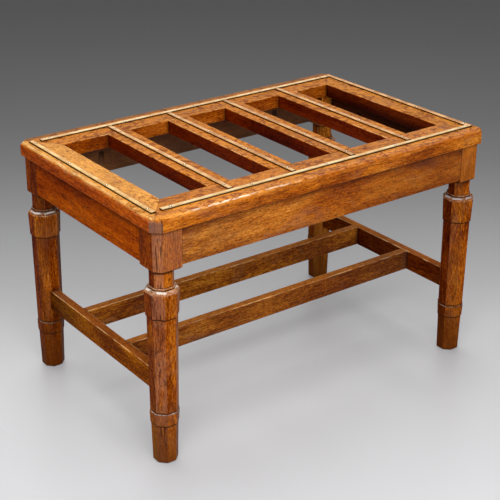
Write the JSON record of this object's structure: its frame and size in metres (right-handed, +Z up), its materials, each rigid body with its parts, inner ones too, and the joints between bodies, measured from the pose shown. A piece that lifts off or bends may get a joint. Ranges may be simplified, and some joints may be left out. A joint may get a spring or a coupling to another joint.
{
  "type": "luggage rack",
  "caption": "Joined hardwood luggage rack with an open slatted top, canted corners, brass wear strips, octagonal tapered legs and a low stretcher frame.",
  "frame": {"origin": "on the floor under the middle of the rack", "axes": "+X along the long side to the right, +Y from front to back, +Z up"},
  "size_m": [0.736, 0.466, 0.4635],
  "materials": {
    "leg_wood": "polished, worn",
    "frieze_wood": "polished, worn",
    "top_rail_wood": "polished, worn",
    "slat_wood": "polished, worn",
    "stretcher_wood": "polished, worn",
    "tongue_wood": "bare, sawn",
    "strip_brass": "aged, rubbed bright",
    "pin_brass": "rubbed bright",
    "screw_steel": "dull, darkened"
  },
  "bodies": {
    "root": {"leg_front_left": "leg_wood", "leg_front_right": "leg_wood", "leg_back_left": "leg_wood", "leg_back_right": "leg_wood", "frieze_front": "frieze_wood", "frieze_back": "frieze_wood", "frieze_left": "frieze_wood", "frieze_right": "frieze_wood", "top_rail_front": "top_rail_wood", "top_rail_back": "top_rail_wood", "top_rail_left": "top_rail_wood", "top_rail_right": "top_rail_wood", "mitre_tongue_front_left": "tongue_wood", "mitre_tongue_front_right": "tongue_wood", "mitre_tongue_back_left": "tongue_wood", "mitre_tongue_back_right": "tongue_wood", "slat_1": "slat_wood", "slat_2": "slat_wood", "slat_3": "slat_wood", "slat_4": "slat_wood", "end_stretcher_left": "stretcher_wood", "end_stretcher_right": "stretcher_wood", "long_stretcher_front": "stretcher_wood", "long_stretcher_back": "stretcher_wood", "brass_strip_front": "strip_brass", "brass_strip_back": "strip_brass", "brass_strip_left": "strip_brass", "brass_strip_right": "strip_brass", "brass_strip_slat_1": "strip_brass", "brass_strip_slat_2": "strip_brass", "brass_strip_slat_3": "strip_brass", "brass_strip_slat_4": "strip_brass", "strip_pins_front": "pin_brass", "strip_pins_back": "pin_brass", "strip_pins_left": "pin_brass", "strip_pins_right": "pin_brass", "strip_pins_slat_1": "pin_brass", "strip_pins_slat_2": "pin_brass", "strip_pins_slat_3": "pin_brass", "strip_pins_slat_4": "pin_brass", "pocket_screws": "screw_steel"}
  },
  "joints": []
}
